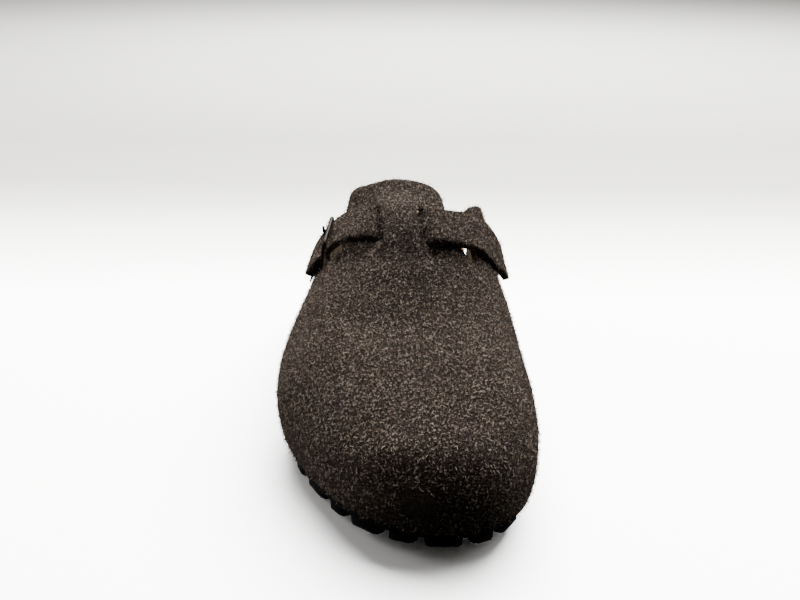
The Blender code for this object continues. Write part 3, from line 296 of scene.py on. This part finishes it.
# How firmly subdivision holds the felt's sharp edges, from 0 to 1, and its levels there.
FELT_FIRMNESS = 0.55
FELT_LEVELS = 2

# On the outsole, faces that bend by less than the first angle join into one, edges sharper than
# the second are rounded, and those sharper than the third are shaded as edges.
FLAT_WITHIN = 0.01
ROUNDED_FROM = math.radians(40)
SHADED_SHARP_FROM = math.radians(38)


def merged_copy(node, name, material):
    """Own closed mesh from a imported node."""
    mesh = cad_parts[node].data.copy()
    mesh.name = name
    work = bmesh.new()
    work.from_mesh(mesh)
    bmesh.ops.remove_doubles(work, verts=work.verts, dist=WELD)
    for edge in work.edges:
        edge.smooth = True
    for face in work.faces:
        face.smooth = True
    work.to_mesh(mesh)
    work.free()
    piece = bpy.data.objects.new(name, mesh)
    bpy.context.scene.collection.objects.link(piece)
    mesh.materials.clear()
    mesh.materials.append(material)
    return piece


def apply_all(piece):
    """Turn a piece with modifiers into its plain mesh."""
    graph = bpy.context.evaluated_depsgraph_get()
    made = bpy.data.meshes.new_from_object(piece.evaluated_get(graph))
    made.name = piece.name
    piece.modifiers.clear()
    piece.data = made


def crease_sharp(piece, angle, firmness):
    """Hold the edges sharper than an angle, so that subdivision only rounds them."""
    mesh = piece.data
    held = mesh.attributes.new("crease_edge", "FLOAT", "EDGE")
    work = bmesh.new()
    work.from_mesh(mesh)
    for edge in work.edges:
        if len(edge.link_faces) == 2 and edge.calc_face_angle(0.0) > angle:
            held.data[edge.index].value = firmness
    work.free()


def subdivide(piece, levels):
    """Round a piece with so many levels of subdivision."""
    rounds = piece.modifiers.new("rounds", "SUBSURF")
    rounds.levels = levels
    rounds.render_levels = levels
    apply_all(piece)


def place(piece, slot, *nodes):
    """Fix a piece to the shoe, and hide the nodes that it replaces. The slot of its finish is not
    used.
    """
    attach(piece, "root")
    if nodes:
        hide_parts(*nodes)


def vertex_values(mesh, kind):
    """The place ("co") or normal of every point, one row each."""
    values = np.zeros(len(mesh.vertices) * 3)
    mesh.vertices.foreach_get(kind, values)
    return values.reshape(-1, 3)


def set_points(mesh, points):
    """Move every point of a mesh to its new place."""
    mesh.vertices.foreach_set("co", points.ravel())
    mesh.update()


# Soft form of the felt

# Creases and swells of the upper, all in mm: a path of points, its width and its height over
# the felt. A crease has a height below 0.
CREASES = (
    # Where the centre strip leaves the vamp, and the pull at the feet of the slits.
    (((-24, -33, 78), (-17, -37, 78), (-12, -38, 78)), 4.0, -0.9),
    (((8, -38, 78), (13, -37, 77), (19, -34, 75)), 4.0, -0.9),
    (((-13, -44, 77), (-2, -46, 77), (9, -44, 77)), 7.0, 0.8),
    # Soft bend across the vamp above the toes.
    (((-36, -56, 52), (-20, -66, 62), (0, -70, 63), (22, -66, 58), (38, -54, 48)), 9.0, -0.7),
    (((-34, -78, 48), (-12, -86, 54), (12, -88, 53), (34, -78, 45)), 11.0, 0.7),
    # Pull lines from the strap's ends down the quarters.
    (((45, -22, 60), (46, -8, 52), (46, 8, 44)), 6.0, -0.7),
    (((-44, -14, 54), (-45, 2, 48), (-44, 18, 42)), 6.0, -0.7),
    # The toe wall's soft edge over the sole.
    (((-42, -92, 20), (-22, -118, 20), (4, -132, 20), (30, -124, 20), (46, -98, 20)), 7.0, 0.6),
    (((-46, -70, 40), (-36, -96, 40), (-14, -116, 42), (10, -124, 42)), 8.0, -0.5),
)


def path_distance(points, path):
    """Distance in metres from each point to a path given in mm."""
    best = np.full(len(points), np.inf)
    for first, second in zip(path[:-1], path[1:]):
        start = np.array(first) * MM
        run = np.array(second) * MM - start
        share = np.clip(((points - start) @ run) / (run @ run), 0.0, 1.0)
        away = points - start - share[:, None] * run
        best = np.minimum(best, np.linalg.norm(away, axis=1))
    return best


def outside_sign(points, normals):
    """1 for the felt's outer skin, which faces away from the middle of the foot, and -1 for its
    inner skin. The middle is a line from heel to toe, 30 mm up."""
    middle = points.copy()
    middle[:, 0] = -2 * MM
    middle[:, 2] = 30 * MM
    return np.where(np.einsum("ij,ij->i", normals, points - middle) > 0, 1.0, -1.0)


# Slow swells of the felt, in waves per metre: broad ones 26 mm long, and small ones 11 mm long
# and half as high.
BROAD_SWELLS = 38.0
SMALL_SWELLS = 95.0
SMALL_SHARE = 0.5


def soften_felt(mesh, creases, swell):
    """Move the felt's two skins together along its creases and with slow swells of the cloth."""
    points = vertex_values(mesh, "co")
    normals = vertex_values(mesh, "normal")
    outward = normals * outside_sign(points, normals)[:, None]
    lift = np.zeros(len(points))
    for path, width, height in creases:
        lift += height * MM * np.exp(-(path_distance(points, path) / (width * MM)) ** 2)
    for index, point in enumerate(points):
        spot = Vector(point)
        small = SMALL_SHARE * noise.noise(spot * SMALL_SWELLS)
        lift[index] += swell * (noise.noise(spot * BROAD_SWELLS) + small)
    set_points(mesh, points + outward * lift[:, None])


def mark_outer(mesh):
    """Store which points lie on the outer skin, for the fibres."""
    sign = outside_sign(vertex_values(mesh, "co"), vertex_values(mesh, "normal"))
    mark = mesh.attributes.new("outer", "FLOAT", "POINT")
    mark.data.foreach_set("value", (sign > 0).astype(float))


# How the felt has settled, all in mm: a centre, the reaches of the shift and the shift there.
SETTLED_BOTH = (
    # The strap rides up under the centre strip.
    ((0, -24, 84), (24, 16, 14), (0, 2.4, 3.2)),
)
SETTLED_STRAP = (
    # Its two arms sag towards the vamp.
    ((-38, -22, 72), (8, 12, 12), (0.4, -0.8, -0.8)),
    ((42, -22, 74), (11, 16, 14), (-1.8, -1.8, -3.0)),
)
SETTLED_UPPER = (
    # The fronts and backs of the slits close up to the strap.
    ((13.5, -36, 79), (3.5, 3, 6), (-2.6, 1.4, 0.5)),
    ((8.2, -36.5, 81), (2.5, 3, 5), (1.0, 0.8, 0)),
    ((-14, -33, 79), (3.5, 3, 6), (1.6, 1.4, 0.5)),
    ((10, -14, 89), (4, 3, 5), (-0.6, -3.0, -0.4)),
    ((-12, -12, 89), (4, 3, 5), (0, -1.8, 0)),
    # The tongue's outer corner stands square, and the outer quarter's front leans into its notch.
    ((-21.5, 4.5, 91), (6, 9, 6), (-2.4, 0, 1.5)),
    ((-34, -23, 70), (8, 9, 9), (4.0, -1.0, 6.0)),
    ((25, -31, 77), (5, 6, 5), (1.3, 0, 0.2)),
    ((-26, -25, 77), (4, 6, 5), (-2.2, 0, 0.8)),
    # The toe's front is blunt, and the outer side bulges beside the small toe.
    ((0, -128, 44), (32, 8, 8), (0, -0.9, 1.8)),
    ((-50, -88, 32), (8, 26, 22), (-1.6, 0, 0)),
    ((40, -118, 20), (12, 16, 14), (1.4, -0.8, 0)),
)


def settle(mesh, shifts):
    """Shift the points near each centre, fading out over the reaches."""
    points = vertex_values(mesh, "co")
    moved = points.copy()
    for centre, reach, shift in shifts:
        away = (points - np.array(centre) * MM) / (np.array(reach) * MM)
        moved += np.exp(-np.einsum("ij,ij->i", away, away))[:, None] * np.array(shift) * MM
    set_points(mesh, moved)


def felt_piece(node, name, creases, settled, swell):
    """Felt with softly rounded cut edges, settled and creased. The swell is in metres."""
    piece = merged_copy(node, name, FELT)
    crease_sharp(piece, FELT_EDGE, FELT_FIRMNESS)
    subdivide(piece, FELT_LEVELS)
    settle(piece.data, SETTLED_BOTH + settled)
    soften_felt(piece.data, creases, swell)
    mark_outer(piece.data)
    return piece


# Loose fibres

# The longest fibre, and how many there are on a square metre, which is 0.95 on a square mm.
FIBRE_LENGTH = 2.7 * MM
FIBRE_DENSITY = 0.95e6
# The shortest fibre's share of the longest.
SHORTEST = 0.45
# How far a fibre leans over from upright, in radians: from 57 to 93 degrees.
LEAN_LEAST = 1.0
LEAN_MOST = 1.62
# Half of a strand's width, as a share of its length. That makes fibres 0.1 to 0.24 mm wide.
STRAND_HALF_WIDTH = 0.044


def fibre_strand():
    """One curled fibre as a narrow strip along Z, a little under 1 long; its width is along X."""
    rows = ((0.0, 0.0, 0.0), (0.34, 0.04, 0.05), (0.68, 0.17, 0.06), (0.92, 0.36, 0.02))
    points = []
    for up, aside, lift in rows:
        points.append((aside - STRAND_HALF_WIDTH, lift, up))
        points.append((aside + STRAND_HALF_WIDTH, lift, up))
    faces = [(2 * row, 2 * row + 1, 2 * row + 3, 2 * row + 2) for row in range(len(rows) - 1)]
    mesh = bpy.data.meshes.new("strand")
    mesh.from_pydata(points, [], faces)
    strand = bpy.data.objects.new("strand", mesh)
    bpy.context.scene.collection.objects.link(strand)
    return strand


def random_value(tree, kind, low, high, seed):
    """Random value between two numbers or two vectors."""
    node = add(tree, "FunctionNodeRandomValue", {"Seed": seed}, data_type=kind)
    ends = [socket for socket in node.inputs if socket.enabled and socket.name in ("Min", "Max")]
    ends[0].default_value = low
    ends[1].default_value = high
    return next(socket for socket in node.outputs if socket.enabled)


def fibre_tree():
    """Scatters curled fibres over the outer skin, realized and painted."""
    tree = bpy.data.node_groups.new("felt_fibres", "GeometryNodeTree")
    for name, kind in (("Felt", "Geometry"), ("Strand", "Object"), ("Seed", "Int")):
        tree.interface.new_socket(name, in_out="INPUT", socket_type="NodeSocket" + kind)
    tree.interface.new_socket("Fibres", in_out="OUTPUT", socket_type="NodeSocketGeometry")
    given = add(tree, "NodeGroupInput").outputs
    # Fibres grow on the outer skin alone.
    outer = add(tree, "GeometryNodeInputNamedAttribute", {"Name": "outer"}, data_type="FLOAT")
    density = add(tree, "ShaderNodeMath", {0: outer.outputs[0], 1: FIBRE_DENSITY},
                  operation="MULTIPLY")
    spread = add(tree, "GeometryNodeDistributePointsOnFaces",
                 {"Mesh": given["Felt"], "Density": density.outputs[0], "Seed": given["Seed"]})
    shape = add(tree, "GeometryNodeObjectInfo", {"Object": given["Strand"]})
    # A fibre leans well over before it is turned about the felt's normal.
    tilt = random_value(tree, "FLOAT_VECTOR", (LEAN_LEAST, 0.0, -math.pi),
                        (LEAN_MOST, 0.0, math.pi), given["Seed"])
    turn = add(tree, "FunctionNodeRotateEuler",
               {"Rotation": spread.outputs["Rotation"], "Rotate By": tilt}, space="LOCAL")
    share = random_value(tree, "FLOAT", SHORTEST, 1.0, given["Seed"])
    long = add(tree, "ShaderNodeMath", {0: share, 1: FIBRE_LENGTH}, operation="MULTIPLY")
    copies = add(tree, "GeometryNodeInstanceOnPoints", {
        "Points": spread.outputs["Points"],
        "Instance": shape.outputs["Geometry"],
        "Rotation": turn.outputs[0],
        "Scale": long.outputs[0],
    })
    real = add(tree, "GeometryNodeRealizeInstances", {"Geometry": copies.outputs[0]})
    painted = add(tree, "GeometryNodeSetMaterial", {"Geometry": real.outputs[0], "Material": FIBRE})
    add(tree, "NodeGroupOutput", {"Fibres": painted.outputs[0]})
    return tree


def grow_fibres(felt, name, strand, tree, seed):
    """Piece of loose fibres that lie on a felt piece."""
    piece = bpy.data.objects.new(name, felt.data.copy())
    bpy.context.scene.collection.objects.link(piece)
    modifier = piece.modifiers.new("fibres", "NODES")
    modifier.node_group = tree
    inputs = {item.name: item.identifier for item in tree.interface.items_tree
              if item.in_out == "INPUT"}
    modifier[inputs["Strand"]] = strand
    modifier[inputs["Seed"]] = seed
    bpy.context.view_layer.update()
    apply_all(piece)
    return piece


# Build the pieces

upper = felt_piece("upper", "felt_upper", CREASES, SETTLED_UPPER, 0.45 * MM)
place(upper, "wool_felt", "upper")
strap = felt_piece("strap", "felt_strap", (), SETTLED_STRAP, 0.20 * MM)
place(strap, "strap_felt", "strap")

strand = fibre_strand()
scatter = fibre_tree()
for felt, name, slot, seed in ((upper, "upper_fibres", "wool_felt", 3),
                               (strap, "strap_fibres", "strap_felt", 8)):
    fibres = grow_fibres(felt, name, strand, scatter, seed)
    place(fibres, slot)
bpy.data.objects.remove(strand)


def rounded_piece(node, name, slot, material, radius):
    """Moulded piece whose flat faces are whole and whose sharp edges are rounded."""
    piece = merged_copy(node, name, material)
    work = bmesh.new()
    work.from_mesh(piece.data)
    bmesh.ops.dissolve_limit(work, angle_limit=FLAT_WITHIN, verts=work.verts, edges=work.edges)
    work.to_mesh(piece.data)
    work.free()
    edge = piece.modifiers.new("edges", "BEVEL")
    edge.width = radius
    edge.segments = 2
    edge.limit_method = "ANGLE"
    edge.angle_limit = ROUNDED_FROM
    apply_all(piece)
    piece.data.shade_smooth()
    piece.data.set_sharp_from_angle(angle=SHADED_SHARP_FROM)
    place(piece, slot, node)


rounded_piece("outsole", "foam_outsole", "sole_foam", FOAM, 0.5 * MM)

# Each row: node, piece, slot, material, what counts as a sharp edge, how firmly such an edge is
# held, from 0 to 1, and the levels of subdivision.
for node, name, slot, material, sharp, firmness, levels in (
        ("footbed", "cork_footbed", "cork", CORK, PRESSED_EDGE, 0.8, 1),
        ("insole", "suede_insole", "insole_suede", SUEDE, PRESSED_EDGE, 0.7, 2),
        ("buckle_tab", "leather_tab", "tab_leather", LEATHER, PRESSED_EDGE, 0.75, 1),
        ("buckle_frame", "wire_frame", "frame_metal", GUNMETAL, WIRE_EDGE, 0.8, 2),
        ("buckle_prong", "wire_prong", "prong_metal", GUNMETAL, WIRE_EDGE, 0.8, 2)):
    piece = merged_copy(node, name, material)
    crease_sharp(piece, sharp, firmness)
    subdivide(piece, levels)
    place(piece, slot, node)


# Floor, light and camera

def paper_floor():
    """Matt white paper that the shoe stands on. From 80 mm behind the shoe's middle its colour
    greys: painted shade for the light that falls off towards the back.
    """
    material, tree, shader = new_material("matt_paper", Roughness=0.95, Specular_IOR_Level=0.0)
    back = add(tree, "ShaderNodeSeparateXYZ", {"Vector": object_coordinates(tree)}).outputs["Y"]
    # The ramp's places are shares of 2 m.
    share = add(tree, "ShaderNodeMapRange", {"Value": back, "From Min": 0.0, "From Max": 2.0})
    # Painted shade: the colour darkens behind the shoe in place of the light falling off there.
    colour = ramp(tree, share.outputs[0], (
        (0.04, linear("#fbfaf8")),
        (0.08, linear("#cccbc7")),
        (0.12, linear("#9a9995")),
        (0.15, linear("#82817d")),
        (0.22, linear("#7a7975")),
        (0.60, linear("#a3a29e")),
    ))
    tree.links.new(colour, shader.inputs["Base Color"])
    return material


# The paper is 12 m square and lies 0.2 mm under the lugs, so that the two never share a plane.
# It casts no light on the shoe, or its white would wash out the dark felt.
floor_mesh = bpy.data.meshes.new("floor")
floor_mesh.from_pydata([(-6, -3, 0), (6, -3, 0), (6, 9, 0), (-6, 9, 0)], [], [(0, 1, 2, 3)])
floor = bpy.data.objects.new("floor", floor_mesh)
floor.location.z = -0.2 * MM
floor_mesh.materials.append(paper_floor())
bpy.context.scene.collection.objects.link(floor)
floor.visible_diffuse = False
floor.visible_glossy = False
floor_only = bpy.data.collections.new("floor_only")
floor_only.objects.link(floor)

world = bpy.data.worlds.new("studio")
bpy.context.scene.world = world
world.use_nodes = True
sky = world.node_tree
# The room is bright above and behind the shoe and dark in front of it. A direction's brightness
# follows from a weighted sum of its height and of its lean to the back. It runs from the
# darkest at a sum of 0 to the brightest at a full sum.
HEIGHT_WEIGHT = 0.55
BACK_WEIGHT = 0.5
FULL_SUM = 0.8
DARKEST = 0.02
BRIGHTEST = 0.45
aim = add(sky, "ShaderNodeTexCoord").outputs["Generated"]
side = add(sky, "ShaderNodeSeparateXYZ", {"Vector": aim})
raised = add(sky, "ShaderNodeMath", {0: side.outputs["Z"], 1: HEIGHT_WEIGHT}, operation="MULTIPLY")
toward = add(sky, "ShaderNodeMath", {0: side.outputs["Y"], 1: BACK_WEIGHT, 2: raised.outputs[0]},
             operation="MULTIPLY_ADD")
strength = add(sky, "ShaderNodeMapRange", {
    "Value": toward.outputs[0],
    "From Min": 0.0,
    "From Max": FULL_SUM,
    "To Min": DARKEST,
    "To Max": BRIGHTEST,
})
back_of_room = sky.nodes["Background"]
back_of_room.inputs["Color"].default_value = linear("#fffcf6")
sky.links.new(strength.outputs[0], back_of_room.inputs["Strength"])


def soft_light(name, spot, target, size, power, only=None):
    """Soft lamp, with its spot, target and size in metres and its power in watts."""
    lamp = bpy.data.lights.new(name, "AREA")
    lamp.shape = "RECTANGLE"
    lamp.size = size[0]
    lamp.size_y = size[1]
    lamp.energy = power
    made = bpy.data.objects.new(name, lamp)
    made.location = spot
    made.rotation_euler = (Vector(target) - Vector(spot)).to_track_quat("-Z", "Y").to_euler()
    bpy.context.scene.collection.objects.link(made)
    if only is not None:
        made.light_linking.receiver_collection = only


soft_light("overhead", (0.1, 0.85, 1.05), (0.0, 0.0, 0.0), (1.0, 0.8), 21.0)
soft_light("left_side", (-1.0, 0.10, 0.50), (0.0, 0.0, 0.05), (0.5, 0.8), 7.0)
soft_light("right_side", (1.0, 0.25, 0.45), (0.0, 0.0, 0.05), (0.5, 0.8), 6.0)
# This one reaches the paper alone, which is far brighter than the felt.
soft_light("paper_light", (0.22, 0.50, 1.15), (0.0, 0.0, 0.0), (1.3, 1.3), 270.0, floor_only)

# The photograph's viewing angle: how far the camera looks down, how far it looks aside, and how
# far it leans.
PITCH = math.radians(26.28)
YAW = math.radians(-0.55)
ROLL = math.radians(0.39)
level = math.cos(PITCH)
forward = Vector((math.sin(YAW) * level, math.cos(YAW) * level, -math.sin(PITCH)))
right = Vector((math.cos(YAW), -math.sin(YAW), 0.0))
above = right.cross(forward)
axes = Matrix((right, above, -forward)).transposed() @ Matrix.Rotation(ROLL, 3, "Z")
lens = bpy.data.cameras.new("camera")
lens.lens = 36.0
lens.sensor_width = 36.0
lens.clip_start = 0.01
lens.clip_end = 50.0
camera = bpy.data.objects.new("camera", lens)
camera.location = (0.00123, -0.34894, 0.21121)
camera.rotation_euler = axes.to_euler()
bpy.context.scene.collection.objects.link(camera)
bpy.context.scene.camera = camera
